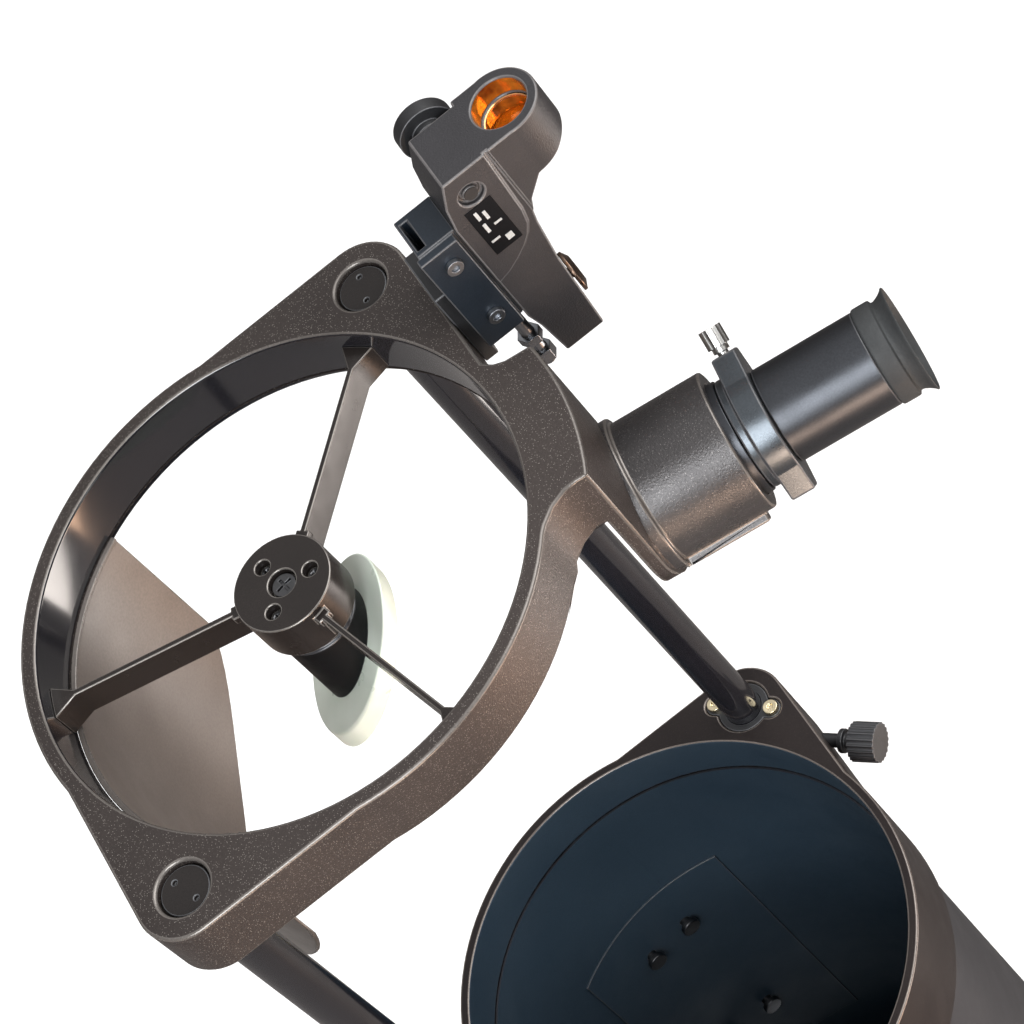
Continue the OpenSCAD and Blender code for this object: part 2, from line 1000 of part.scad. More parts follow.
// Secondary mirror and its holder

module mirror_stalk() {
  color([0.09, 0.09, 0.1])
    optics()
      difference() {
        union() {
          bar(4.9 + hub_depth + 3, 4.9 + hub_depth + 5, 14.6);
          bar(4.9 + hub_depth + 4.6, 100, 15.6);
        }
        bar(0, 4.9 + hub_depth + 5, 2.4);
        translate([0, 0, -focuser_back])
          rotate([0, 0, focuser_angle])
            rotate([0, 135, 0])
              translate([-60, -60, -secondary_thick])
                cube([120, 120, 120]);
      }
}

module secondary_mirror() {
  color([0.72, 0.78, 0.76])
    optics()
      intersection() {
        bar(20, 110, secondary_radius);
        translate([0, 0, -focuser_back])
          rotate([0, 0, focuser_angle])
            rotate([0, 135, 0])
              translate([-60, -60, -secondary_thick])
                cube([120, 120, secondary_thick]);
      }
}

module stalk_bolt() {
  color([0.75, 0.75, 0.76])
    optics()
      difference() {
        union() {
          bar(6.5, 8.6, 4.4);
          bar(8, 4.9 + hub_depth + 5, 2.4);
        }
        translate([-3, -0.5, -7.7])
          cube([6, 1, 2]);
        translate([-0.5, -3, -7.7])
          cube([1, 6, 2]);
      }
}

module tilt_screw(a) {
  optics()
    rotate([0, 0, rod_angle + a])
      translate([10.8, 0, 0])
        difference() {
          bar(8.4, 4.9 + hub_depth + 2.9, 2);
          bar(8, 11, 1);
        }
}

module tilt_screw_1() {
  color([0.3, 0.3, 0.31])
    tilt_screw(60);
}

module tilt_screw_2() {
  color([0.3, 0.3, 0.31])
    tilt_screw(180);
}

module tilt_screw_3() {
  color([0.3, 0.3, 0.31])
    tilt_screw(300);
}

// Finder

module finder_frame() {
  optics()
    rotate([0, 0, finder_angle])
      children();
}

module finder_foot() {
  color([0.08, 0.08, 0.1])
    finder_frame()
      translate([finder_low, finder_side - 11.4, -ring_depth])
        cube([5.5, 24.4, ring_depth + 14]);
}

module finder_bracket() {
  color([0.16, 0.17, 0.19])
    finder_frame()
      difference() {
        union() {
          translate([bracket_low, finder_side - 11.4, bracket_rear])
            cube([housing_low - bracket_low, 19, bracket_front - bracket_rear]);
          translate([bracket_low - 1.2, finder_side - 15, bracket_rear])
            cube([housing_low - bracket_low - 0.2, 3.6, bracket_front - bracket_rear - 1]);
        }
        // undercut groove of the shoe
        translate([bracket_low + 1.4, finder_side - 9, bracket_rear - 1])
          cube([3, 14, bracket_front - bracket_rear + 2]);
        translate([113.4, finder_side, -30])
          cylinder(r = 2.5, h = 20);
        for (z = [26.3, -5])
          translate([109.9, finder_side - 20.4, z])
            rotate([-90, 0, 0])
              cylinder(r = 2, h = 16);
      }
}

module finder_screws() {
  color([0.3, 0.31, 0.33])
    finder_frame() {
      for (z = [26.3, -5])
        translate([109.9, finder_side - 15, z])
          rotate([90, 0, 0])
            difference() {
              union() {
                cylinder(r = 3.1, h = 2);
                translate([0, 0, -9])
                  cylinder(r = 2, h = 9.5);
              }
              translate([0, 0, 0.8])
                cylinder(r = 1.6, h = 3, $fn = 6);
            }
      // rear aiming screw with its nuts
      translate([113.4, finder_side, -58])
        union() {
          cylinder(r = 2.5, h = 46);
          translate([0, 0, 14])
            cylinder(r = 4.6, h = 4, $fn = 6);
          translate([0, 0, 2])
            cylinder(r = 4.2, h = 6, $fn = 6);
        }
    }
}

module finder_housing() {
  color([0.2, 0.18, 0.17])
    finder_frame()
      difference() {
        union() {
          intersection() {
            // side outline
            translate([0, finder_side + 30, 0])
              rotate([90, 0, 0])
                linear_extrude(60)
                  polygon([[123.4, 57], [180, 57], [180, 41], [166, 37], [160, 35],
                    [151, 33.2], [144, 25.9], [141.7, 20], [140.6, 14.4], [138.3, -6.3],
                    [136.5, -46.1], [120.7, -46.1], [119.2, -28], [housing_low, -20],
                    [housing_low, bracket_front], [119.4, 46.8]]);
            union() {
              translate([110, finder_side - finder_width / 2, -60])
                cube([44, finder_width, 120]);
              translate([154.3, finder_side + head_offset, 0])
                cylinder(r = head_radius, h = 60);
              translate([142, finder_side + head_offset - head_radius + 0.2, 0])
                cube([12.3, 2 * head_radius - 0.4, 60]);
            }
          }
          // raised panel on the side
          translate([0, finder_side - finder_width / 2 + 0.2, 0])
            rotate([90, 0, 0])
              linear_extrude(1.1)
                polygon([[housing_low, 3.4], [123, 4.9], [128, 7.6], [132.5, 10.8],
                  [135.6, 14], [138, 18.4], [139.2, 25], [140.7, 57], [123.4, 57],
                  [119.4, 46.8], [housing_low, bracket_front]]);
        }
        // window bore with a lip
        translate([154.6, finder_side + head_offset, 20])
          cylinder(r = finder_window_radius - 0.9, h = 60);
        translate([154.6, finder_side + head_offset, 48.4])
          cylinder(r = finder_window_radius, h = 20);
        translate([154.6, finder_side + head_offset, 20])
          cylinder(r = finder_window_radius, h = 27);
        // battery cover recess on the side
        translate([129.4, finder_side - finder_width / 2 - 3, 45.8])
          rotate([-90, 0, 0])
            difference() {
              cylinder(r = 4.7, h = 4.6);
              translate([0, 0, 2.6])
                cylinder(r = 2.9, h = 3);
            }
        translate([139, finder_side, -29.5])
          rotate([0, 90, 0])
            cylinder(r = 2 + running_gap, h = 14, center = true);
        translate([130.5, finder_side + finder_width / 2 - 8, 50.5])
          rotate([-90, 0, 0])
            cylinder(r = 2 + running_gap, h = 12);
      }
}

module finder_window() {
  color([0.95, 0.55, 0.15, 0.6])
    finder_frame()
      translate([154.6, finder_side + head_offset, 40])
        cylinder(r = finder_window_radius, h = 1.8);
}

module finder_dial() {
  color([0.1, 0.1, 0.1])
    finder_frame()
      translate([130.5, finder_side + finder_width / 2, 50.5])
        rotate([-90, 0, 0])
          union() {
            translate([0, 0, 3])
              cylinder(r = 10.6, h = 5.6);
            translate([0, 0, 0.4])
              cylinder(r = 6, h = 3);
            translate([0, 0, -8])
              cylinder(r = 2, h = 9);
          }
}

module finder_adjuster() {
  color([0.35, 0.25, 0.2])
    finder_frame()
      translate([137.6, finder_side, -29.5])
        rotate([0, 90, 0])
          union() {
            translate([0, 0, 0.4])
              cylinder(r = 8, h = 1.4);
            translate([0, 0, 1.8])
              cylinder(r1 = 7.6, r2 = 5, h = 1.4);
            translate([0, 0, -5])
              cylinder(r = 2, h = 6);
          }
}

ground_board();
ground_feet();
azimuth_bolt();
glide_pads();
turntable_board();
side_arm();
arm_screws();
azimuth_nut();
friction_washer();
altitude_bearing();
tension_knob();
altitude_saddle();
saddle_jaw();
clamp_knob();
dovetail_bar();
dovetail_screws();
main_tube();
tube_liner();
lower_ring();
rod_bushings();
bushing_screws();
lock_knob_a();
lock_knob_b();
rear_ring();
mirror_cell();
primary_mirror();
mirror_clips();
cell_springs();
collimation_knob_1();
collimation_knob_2();
collimation_knob_3();
cell_lock_screws();
upper_ring();
spider_hub();
truss_rod_a();
truss_rod_b();
rod_caps();
rod_stops();
light_shield();
focuser_barrel();
finder_foot();
mirror_stalk();
secondary_mirror();
stalk_bolt();
tilt_screw_1();
tilt_screw_2();
tilt_screw_3();
drawtube();
focus_collar();
thumbscrew_a();
thumbscrew_b();
eyepiece_body();
eyecup();
eyepiece_lenses();
finder_bracket();
finder_screws();
finder_housing();
finder_window();
finder_dial();
finder_adjuster();
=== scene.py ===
import json
import math
import bmesh
import bpy
from mathutils import Matrix, Vector


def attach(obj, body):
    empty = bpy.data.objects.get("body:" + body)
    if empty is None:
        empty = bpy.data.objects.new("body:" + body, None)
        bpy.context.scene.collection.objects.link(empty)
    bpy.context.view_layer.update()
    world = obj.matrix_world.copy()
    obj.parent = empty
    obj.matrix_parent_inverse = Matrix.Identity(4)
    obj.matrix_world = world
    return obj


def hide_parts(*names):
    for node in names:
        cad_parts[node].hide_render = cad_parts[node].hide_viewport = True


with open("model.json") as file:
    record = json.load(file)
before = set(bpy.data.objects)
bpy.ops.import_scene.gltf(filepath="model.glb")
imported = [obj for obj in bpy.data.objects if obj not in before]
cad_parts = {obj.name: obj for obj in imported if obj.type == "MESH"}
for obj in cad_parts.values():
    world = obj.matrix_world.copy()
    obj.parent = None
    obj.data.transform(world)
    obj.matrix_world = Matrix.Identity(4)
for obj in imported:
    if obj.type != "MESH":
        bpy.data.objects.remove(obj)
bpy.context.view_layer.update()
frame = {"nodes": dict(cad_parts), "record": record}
joints = {j["name"]: j for j in frame["record"]["behaviour"]["joints"]}

# The tube's own directions, taken from the joints: sky is towards the open end.
down_tube = Vector(joints["truss_slide"]["axis"])
pivot = Vector((0, 0, joints["altitude_tilt"]["pos_m"][2]))
lean = math.atan2(down_tube.y, -down_tube.z)
FRONT_REACH = 0.5        # from the altitude axis to the front ring
FOCUSER_BACK = 0.0627    # from the front ring's face to the focuser's axis
FOCUSER_TURN = math.radians(70.3)
FINDER_TURN = math.radians(80.2)
OPTICS = Matrix.Translation(pivot) @ Matrix.Rotation(lean, 4, "X") @ Matrix.Translation((0, 0, FRONT_REACH))
FOCUSER = (OPTICS @ Matrix.Translation((0, 0, -FOCUSER_BACK))
           @ Matrix.Rotation(FOCUSER_TURN, 4, "Z") @ Matrix.Rotation(math.radians(90), 4, "Y"))
FINDER = OPTICS @ Matrix.Rotation(FINDER_TURN, 4, "Z")


# ---------- finishes ----------

def new_finish(name):
    mat = bpy.data.materials.new(name)
    mat.use_nodes = True
    nodes, links = mat.node_tree.nodes, mat.node_tree.links
    shader = nodes["Principled BSDF"]
    coords = nodes.new("ShaderNodeTexCoord")
    return mat, nodes, links, shader, coords.outputs["Object"]


def noise(nodes, links, where, scale, detail=4.0, rough=0.55):
    tex = nodes.new("ShaderNodeTexNoise")
    tex.inputs["Scale"].default_value = scale
    tex.inputs["Detail"].default_value = detail
    tex.inputs["Roughness"].default_value = rough
    links.new(where, tex.inputs["Vector"])
    return tex.outputs["Fac"]


def ramp(nodes, links, fac, stops):
    node = nodes.new("ShaderNodeValToRGB")
    band = node.color_ramp
    while len(band.elements) < len(stops):
        band.elements.new(0.5)
    for element, (place, colour) in zip(band.elements, stops):
        element.position = place
        element.color = (*colour, 1)
    links.new(fac, node.inputs["Fac"])
    return node.outputs["Color"]


def spread(nodes, links, fac, low, high, start=0.3, end=0.7):
    node = nodes.new("ShaderNodeMapRange")
    node.inputs["From Min"].default_value = start
    node.inputs["From Max"].default_value = end
    node.inputs["To Min"].default_value = low
    node.inputs["To Max"].default_value = high
    links.new(fac, node.inputs["Value"])
    return node.outputs["Result"]


def blend(nodes, links, fac, a, b):
    node = nodes.new("ShaderNodeMix")
    node.data_type = "RGBA"
    links.new(fac, node.inputs[0])
    for socket, value in ((node.inputs[6], a), (node.inputs[7], b)):
        if isinstance(value, tuple):
            socket.default_value = (*value, 1)
        else:
            links.new(value, socket)
    return node.outputs[2]


def bump(nodes, links, shader, height, strength, distance):
    node = nodes.new("ShaderNodeBump")
    node.inputs["Strength"].default_value = strength
    node.inputs["Distance"].default_value = distance
    links.new(height, node.inputs["Height"])
    links.new(node.outputs["Normal"], shader.inputs["Normal"])


def coating(name, deep, pale, rough=(0.35, 0.5), metal=0.0, grain=900.0, bumps=0.15, depth=0.0002,
            cloud=14.0, flecks=None, fleck_scale=1500.0, fleck_share=0.16, coat=0.0, gloss=0.5):
    """Paint, plastic or anodising: a slow change of tone, a fine grain and optional bright flecks."""
    mat, nodes, links, shader, here = new_finish(name)
    slow = noise(nodes, links, here, cloud, 3)
    fine = noise(nodes, links, here, grain, 3, 0.6)
    tone = ramp(nodes, links, slow, [(0.3, deep), (0.72, pale)])
    speckle = ramp(nodes, links, fine, [(0.32, (0.78, 0.78, 0.78)), (0.68, (1.0, 1.0, 1.0))])
    mix = nodes.new("ShaderNodeMix")
    mix.data_type = "RGBA"
    mix.blend_type = "MULTIPLY"
    mix.inputs[0].default_value = 1.0
    links.new(tone, mix.inputs[6])
    links.new(speckle, mix.inputs[7])
    colour = mix.outputs[2]
    if flecks:
        cells = nodes.new("ShaderNodeTexVoronoi")
        cells.inputs["Scale"].default_value = fleck_scale
        links.new(here, cells.inputs["Vector"])
        spot = ramp(nodes, links, cells.outputs["Distance"],
                    [(fleck_share * 0.6, (1, 1, 1)), (fleck_share, (0, 0, 0))])
        colour = blend(nodes, links, spot, colour, flecks)
    links.new(colour, shader.inputs["Base Color"])
    links.new(spread(nodes, links, noise(nodes, links, here, cloud * 5, 4), rough[0], rough[1]),
              shader.inputs["Roughness"])
    shader.inputs["Metallic"].default_value = metal
    shader.inputs["Specular IOR Level"].default_value = gloss
    shader.inputs["Coat Weight"].default_value = coat
    shader.inputs["Coat Roughness"].default_value = 0.12
    bump(nodes, links, shader, fine, bumps, depth)
    return mat


def brushed(name, colour, rough=0.28):
    """Machined metal with fine lines and a few dull smears."""
    mat, nodes, links, shader, here = new_finish(name)
    turn = nodes.new("ShaderNodeMapping")
    turn.inputs["Scale"].default_value = (1, 1, 60)
    links.new(here, turn.inputs["Vector"])
    lines = noise(nodes, links, turn.outputs["Vector"], 40, 5, 0.7)
    smear = noise(nodes, links, here, 60, 3)
    links.new(ramp(nodes, links, lines, [(0.25, tuple(c * 0.72 for c in colour)), (0.8, colour)]),
              shader.inputs["Base Color"])
    links.new(spread(nodes, links, smear, rough - 0.08, rough + 0.14), shader.inputs["Roughness"])
    shader.inputs["Metallic"].default_value = 1.0
    bump(nodes, links, shader, lines, 0.12, 0.0001)
    return mat


def glass(name, tint, rough=0.02, ior=1.5, film=None):
    mat, nodes, links, shader, here = new_finish(name)
    dust = noise(nodes, links, here, 500, 4)
    edge = nodes.new("ShaderNodeLayerWeight")
    edge.inputs["Blend"].default_value = 0.4
    links.new(blend(nodes, links, edge.outputs["Facing"], tint, film or tint), shader.inputs["Base Color"])
    links.new(spread(nodes, links, dust, rough, rough + 0.05, 0.45, 0.8), shader.inputs["Roughness"])
    shader.inputs["Transmission Weight"].default_value = 0.85
    shader.inputs["IOR"].default_value = ior
    shader.inputs["Coat Weight"].default_value = 0.6
    return mat


ring_paint = coating("fleck_paint", (0.030, 0.0235, 0.0215), (0.055, 0.044, 0.040), (0.28, 0.4), 0.4,
                     1500, 0.6, 0.0003, 9, (0.26, 0.235, 0.21), 1350, 0.22)
# A lighter colour for the ring's rounded edges: edge wear with a painted highlight.
ring_edge_wear_and_highlight = coating("fleck_paint_edge_wear_and_highlight", (0.10, 0.088, 0.08), (0.2, 0.18, 0.165), (0.2, 0.34), 0.5, 1400,
                    0.2)
barrel_paint = coating("barrel_paint", (0.040, 0.036, 0.036), (0.066, 0.062, 0.062), (0.24, 0.34), 0.5,
                       1500, 0.5, 0.0003, 12, (0.24, 0.22, 0.21), 1350, 0.18)
lower_paint = coating("lower_ring_paint", (0.012, 0.009, 0.009), (0.021, 0.016, 0.015), (0.3, 0.42),
                      0.1, 1600, 0.2, 0.0002, 12, (0.05, 0.04, 0.036), 1400, 0.16, gloss=0.2)
# A lighter colour for the rounded edges of the lower and rear rings: edge wear with a painted highlight.
lower_edge_wear_and_highlight = coating("lower_ring_edge_wear_and_highlight", (0.13, 0.11, 0.1), (0.2, 0.17, 0.15), (0.2, 0.3), 0.5, 1400,
                     0.1)
hub_finish = coating("hub_satin", (0.015, 0.012, 0.011), (0.024, 0.019, 0.017), (0.2, 0.28), 0.25, 1700,
                     0.1, 0.0001, 20, gloss=0.4)
# A lighter colour for the hub's rounded edges: edge wear with a painted highlight.
hub_edge_wear_and_highlight = coating("hub_edge_wear_and_highlight", (0.16, 0.145, 0.135), (0.25, 0.23, 0.21), (0.16, 0.24), 0.6, 1400, 0.1)
black_gloss = coating("gloss_black", (0.006, 0.006, 0.008), (0.012, 0.012, 0.015), (0.06, 0.13), 0.0,
                      700, 0.02, 0.0001, 8, coat=0.6)
# A lighter colour for rounded edges of black parts: edge wear with a painted highlight.
black_edge_wear_and_highlight = coating("gloss_black_edge_wear_and_highlight", (0.03, 0.03, 0.033), (0.05, 0.05, 0.055), (0.12, 0.2), 0.2,
                     700, 0.02)
cap_gloss = coating("cap_black", (0.008, 0.0065, 0.006), (0.016, 0.013, 0.012), (0.2, 0.3), 0.0, 1500,
                    0.2, 0.0002, 20, gloss=0.3)
stalk_black = coating("matt_black", (0.0025, 0.0025, 0.003), (0.005, 0.005, 0.006), (0.4, 0.55), 0.0,
                      1300, 0.2, 0.0001, 20, gloss=0.12)
tube_paint = coating("tube_satin", (0.013, 0.014, 0.018), (0.022, 0.024, 0.031), (0.34, 0.46), 0.1,
                     1100, 0.2, 0.00015, 6)
tube_dark = coating("tube_flat_black", (0.018, 0.031, 0.046), (0.028, 0.048, 0.070), (0.42, 0.6), 0.0,
                    1500, 0.2, 0.00015, 6, gloss=0.45)
shield_finish = coating("shield_sheet", (0.095, 0.082, 0.074), (0.16, 0.14, 0.127), (0.3, 0.42), 0.15,
                        1100, 0.06, 0.0001, 12)
plastic_black = coating("black_plastic", (0.011, 0.011, 0.012), (0.02, 0.02, 0.022), (0.36, 0.52), 0.0,
                        1300, 0.3, 0.0002, 25)
# A lighter colour for rounded edges of dark parts: edge wear with a painted highlight.
plastic_edge_wear_and_highlight = coating("black_plastic_edge_wear_and_highlight", (0.05, 0.05, 0.053), (0.08, 0.08, 0.085), (0.3, 0.42), 0.0,
                       1300, 0.2)
finder_finish = coating("finder_plastic", (0.0165, 0.0155, 0.0175), (0.026, 0.0245, 0.027), (0.38, 0.5),
                        0.0, 1500, 0.6, 0.0003, 18)
# A lighter colour for the finder's rounded edges: edge wear with a painted highlight.
finder_edge_wear_and_highlight = coating("finder_plastic_edge_wear_and_highlight", (0.085, 0.08, 0.08), (0.14, 0.13, 0.128), (0.25, 0.35),
                      0.0, 1300, 0.1)
plate_finish = coating("bracket_satin", (0.014, 0.019, 0.026), (0.026, 0.034, 0.046), (0.28, 0.38), 0.4,
                       1500, 0.2, 0.0002, 22)
collar_finish = coating("collar_satin", (0.075, 0.084, 0.094), (0.115, 0.128, 0.142), (0.24, 0.34),
                        0.85, 1400, 0.12)
anodised = coating("black_anodised", (0.045, 0.047, 0.053), (0.068, 0.072, 0.080), (0.29, 0.37), 0.8,
                   1500, 0.1)
rubber = coating("rubber", (0.018, 0.019, 0.020), (0.03, 0.032, 0.033), (0.6, 0.78), 0.0, 1100, 0.4,
                 0.0003, 30)
board_finish = coating("black_laminate", (0.016, 0.016, 0.017), (0.028, 0.028, 0.030), (0.36, 0.5), 0.0,
                       700, 0.5, 0.0004, 9)
pad_white = coating("glide_plastic", (0.6, 0.6, 0.57), (0.75, 0.75, 0.72), (0.3, 0.45), 0.0, 900, 0.1)
cast_finish = coating("powder_coat", (0.018, 0.018, 0.020), (0.03, 0.03, 0.033), (0.42, 0.56), 0.2, 900,
                      0.6, 0.0003, 20)
steel = brushed("brushed_steel", (0.62, 0.62, 0.64))
screw_steel = brushed("screw_steel", (0.30, 0.31, 0.33), 0.28)
nickel = brushed("bright_nickel", (0.62, 0.61, 0.59), 0.3)
dark_steel = brushed("blackened_steel", (0.12, 0.12, 0.125), 0.32)
brass = brushed("brass_screw", (0.86, 0.74, 0.5), 0.22)
bronze = brushed("bronze_screw", (0.28, 0.19, 0.14), 0.3)
amber = glass("amber_window", (1.0, 0.50, 0.04), 0.03, 1.5, (0.95, 0.2, 0.02))
lens_glass = glass("coated_lens", (0.55, 0.6, 0.8), 0.01, 1.6, (0.4, 0.3, 0.75))


def mirror_finish():
    """The silvered face of a mirror."""
    mat, nodes, links, shader, here = new_finish("aluminised_glass")
    dust = noise(nodes, links, here, 380, 5, 0.7)
    links.new(ramp(nodes, links, dust, [(0.35, (0.86, 0.88, 0.9)), (0.8, (0.78, 0.8, 0.83))]),
              shader.inputs["Base Color"])
    links.new(spread(nodes, links, dust, 0.015, 0.07, 0.5, 0.85), shader.inputs["Roughness"])
    shader.inputs["Metallic"].default_value = 1.0
    return mat


def ground_glass():
    """Frosted, faintly green glass."""
    mat, nodes, links, shader, here = new_finish("ground_glass")
    cloud = noise(nodes, links, here, 55, 2, 0.5)
    fine = noise(nodes, links, here, 1500, 3)
    links.new(ramp(nodes, links, cloud, [(0.3, (0.60, 0.66, 0.57)), (0.75, (0.74, 0.78, 0.70))]),
              shader.inputs["Base Color"])
    links.new(spread(nodes, links, cloud, 0.22, 0.5), shader.inputs["Roughness"])
    shader.inputs["Transmission Weight"].default_value = 0.12
    shader.inputs["Subsurface Weight"].default_value = 0.2
    shader.inputs["Subsurface Radius"].default_value = (0.004, 0.005, 0.004)
    bump(nodes, links, shader, fine, 0.12, 0.0001)
    return mat


# A painted amber glow for the bore round the finder's window: bright colour that stands in for light.
amber_painted_glow = coating("amber_painted_glow_wall", (0.20, 0.03, 0.006), (0.85, 0.30, 0.03), (0.06, 0.16), 0.4, 300,
                     0.1, 0.0001, 75)
copper = coating("copper_edge", (0.75, 0.33, 0.12), (0.95, 0.5, 0.22), (0.12, 0.2), 0.8, 700, 0.05)
plate_black = coating("plate_black", (0.003, 0.003, 0.004), (0.005, 0.005, 0.006), (0.6, 0.7), 0.0,
                      1200, 0.05, gloss=0.1)
plate_line = coating("plate_line", (0.35, 0.35, 0.34), (0.45, 0.45, 0.44), (0.4, 0.5), 0.0, 1200, 0.05)
mirror_face = mirror_finish()
glass_ground = ground_glass()


# ---------- shaping ----------

MERGE = 0.00001               # corners nearer than this are one
FLAT = math.radians(0.6)      # triangles this level are one face
SHARP = math.radians(35.0)    # edges steeper than this are rounded
NODE_CREASE = math.radians(48)
PIECE_CREASE = math.radians(40)


def rounded(node, width, paint, edge=None, segments=2):
    """A copy of a CAD node with its loose triangles merged and its sharp edges rounded; the rounded faces
    may take a lighter colour, edge wear with a painted highlight.
    """
    source = frame["nodes"][node]
    work = bmesh.new()
    work.from_mesh(source.data)
    bmesh.ops.remove_doubles(work, verts=work.verts, dist=MERGE)
    bmesh.ops.dissolve_limit(work, angle_limit=FLAT, verts=work.verts, edges=work.edges)
    if width:
        hard = [e for e in work.edges if len(e.link_faces) == 2
                and e.calc_face_angle(0) > SHARP]
        # The rounded faces take the second slot: a lighter colour, edge wear with a painted highlight.
        bmesh.ops.bevel(work, geom=hard, offset=width, offset_type="OFFSET", affect="EDGES",
                        segments=segments, profile=0.5, clamp_overlap=False, material=1 if edge else -1)
    mesh = bpy.data.meshes.new(node + "_finished")
    work.to_mesh(mesh)
    work.free()
    mesh.materials.append(paint)
    if edge:
        mesh.materials.append(edge)
    mesh.shade_smooth()
    mesh.set_sharp_from_angle(angle=NODE_CREASE)
    piece = bpy.data.objects.new(mesh.name, mesh)
    bpy.context.collection.objects.link(piece)
    if width:
        level = piece.modifiers.new("flat faces", "WEIGHTED_NORMAL")
        level.keep_sharp = True
    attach(piece, next(b for b, names in frame["record"]["behaviour"]["bodies"].items() if node in names))
    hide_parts(node)
    return piece


def new_piece(name, work, paint, body, place):
    """A new shape, placed in one of the object's own frames and riding on a body."""
    bmesh.ops.transform(work, matrix=place, verts=work.verts)
    mesh = bpy.data.meshes.new(name)
    work.to_mesh(mesh)
    work.free()
    mesh.materials.append(paint)
    mesh.shade_smooth()
    mesh.set_sharp_from_angle(angle=PIECE_CREASE)
    piece = bpy.data.objects.new(name, mesh)
    bpy.context.collection.objects.link(piece)
    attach(piece, body)
    return piece


# Each node's edge rounding in metres, its finish, and the lighter colour of its rounded edges (edge wear
# with a painted highlight).
plan = {
    "ground_board": (0.0012, board_finish, plastic_edge_wear_and_highlight),
    "turntable_board": (0.0012, board_finish, plastic_edge_wear_and_highlight),
    "side_arm": (0.0014, board_finish, plastic_edge_wear_and_highlight),
    "ground_feet": (0.0012, rubber, None),
    "azimuth_bolt": (0.0004, steel, None),
    "glide_pads": (0.0, pad_white, None),
    "arm_screws": (0.0, steel, None),
    "azimuth_nut": (0.0005, plastic_black, plastic_edge_wear_and_highlight),
    "friction_washer": (0.0, pad_white, None),
    "altitude_bearing": (0.0005, dark_steel, None),
    "tension_knob": (0.0012, plastic_black, plastic_edge_wear_and_highlight),
    "altitude_saddle": (0.0008, cast_finish, plastic_edge_wear_and_highlight),
    "saddle_jaw": (0.0006, cast_finish, plastic_edge_wear_and_highlight),
    "clamp_knob": (0.0003, plastic_black, plastic_edge_wear_and_highlight),
    "dovetail_bar": (0.0006, anodised, plastic_edge_wear_and_highlight),
    "dovetail_screws": (0.0004, dark_steel, None),
    "main_tube": (0.0, tube_paint, None),
    "tube_liner": (0.0003, tube_dark, plastic_edge_wear_and_highlight),
    "lower_ring": (0.0009, lower_paint, lower_edge_wear_and_highlight),
    "rod_bushings": (0.0004, plastic_black, plastic_edge_wear_and_highlight),
    "bushing_screws": (0.0003, brass, None),
    "lock_knob_a": (0.0003, plastic_black, plastic_edge_wear_and_highlight),
    "lock_knob_b": (0.0003, plastic_black, plastic_edge_wear_and_highlight),
    "rear_ring": (0.0009, lower_paint, lower_edge_wear_and_highlight),
    "mirror_cell": (0.0006, cast_finish, plastic_edge_wear_and_highlight),
    "mirror_clips": (0.0004, plastic_black, plastic_edge_wear_and_highlight),
    "collimation_knob_1": (0.0003, plastic_black, plastic_edge_wear_and_highlight),
    "collimation_knob_2": (0.0003, plastic_black, plastic_edge_wear_and_highlight),
    "collimation_knob_3": (0.0003, plastic_black, plastic_edge_wear_and_highlight),
    "cell_lock_screws": (0.0003, steel, None),
    "upper_ring": (0.0011, ring_paint, ring_edge_wear_and_highlight),
    "spider_hub": (0.0005, hub_finish, hub_edge_wear_and_highlight),
    "truss_rod_a": (0.0, black_gloss, None),
    "truss_rod_b": (0.0, black_gloss, None),
    "rod_caps": (0.0004, cap_gloss, plastic_edge_wear_and_highlight),
    "rod_stops": (0.0005, rubber, None),
    "light_shield": (0.0004, shield_finish, ring_edge_wear_and_highlight),
    "focuser_barrel": (0.0008, barrel_paint, ring_edge_wear_and_highlight),
    "finder_foot": (0.0006, plastic_black, plastic_edge_wear_and_highlight),
    "mirror_stalk": (0.0006, stalk_black, black_edge_wear_and_highlight),
    "stalk_bolt": (0.0002, dark_steel, None),
    "tilt_screw_1": (0.0, dark_steel, None),
    "tilt_screw_2": (0.0, dark_steel, None),
    "tilt_screw_3": (0.0, dark_steel, None),
    "drawtube": (0.0003, anodised, None),
    "focus_collar": (0.0007, collar_finish, plastic_edge_wear_and_highlight),
    "thumbscrew_a": (0.0002, nickel, None),
    "thumbscrew_b": (0.0002, nickel, None),
    "eyepiece_body": (0.0006, anodised, plastic_edge_wear_and_highlight),
    "eyepiece_lenses": (0.0002, lens_glass, None),
    "finder_bracket": (0.0005, plate_finish, plastic_edge_wear_and_highlight),
    "finder_screws": (0.0002, screw_steel, None),
    "finder_housing": (0.0007, finder_finish, finder_edge_wear_and_highlight),
    "finder_dial": (0.0003, plastic_black, plastic_edge_wear_and_highlight),
    "finder_adjuster": (0.0003, bronze, None),
}
made = {}
for node, (width, paint, edge) in plan.items():
    made[node] = rounded(node, width, paint, edge)


def face_split(piece, matrix, paint, test):
    """Gives the faces whose centre and normal pass the test, in the matrix's own frame, a second finish."""
    mesh = piece.data
    mesh.materials.append(paint)
    slot = len(mesh.materials) - 1
    into = matrix.inverted()
    turn = into.to_3x3()
    for face in mesh.polygons:
        if test(into @ face.center, turn @ face.normal):
            face.material_index = slot


# The tube and the ring are dark inside.
face_split(made["main_tube"], OPTICS, tube_dark,
           lambda p, n: n.x * p.x + n.y * p.y < 0 and abs(n.z) < 0.5)
face_split(made["upper_ring"], OPTICS, black_gloss,
           lambda p, n: math.hypot(p.x, p.y) < 0.0935 and abs(n.z) < 0.5)
face_split(made["lower_ring"], OPTICS, tube_dark,
           lambda p, n: math.hypot(p.x, p.y) < 0.0962 and abs(n.z) < 0.5)

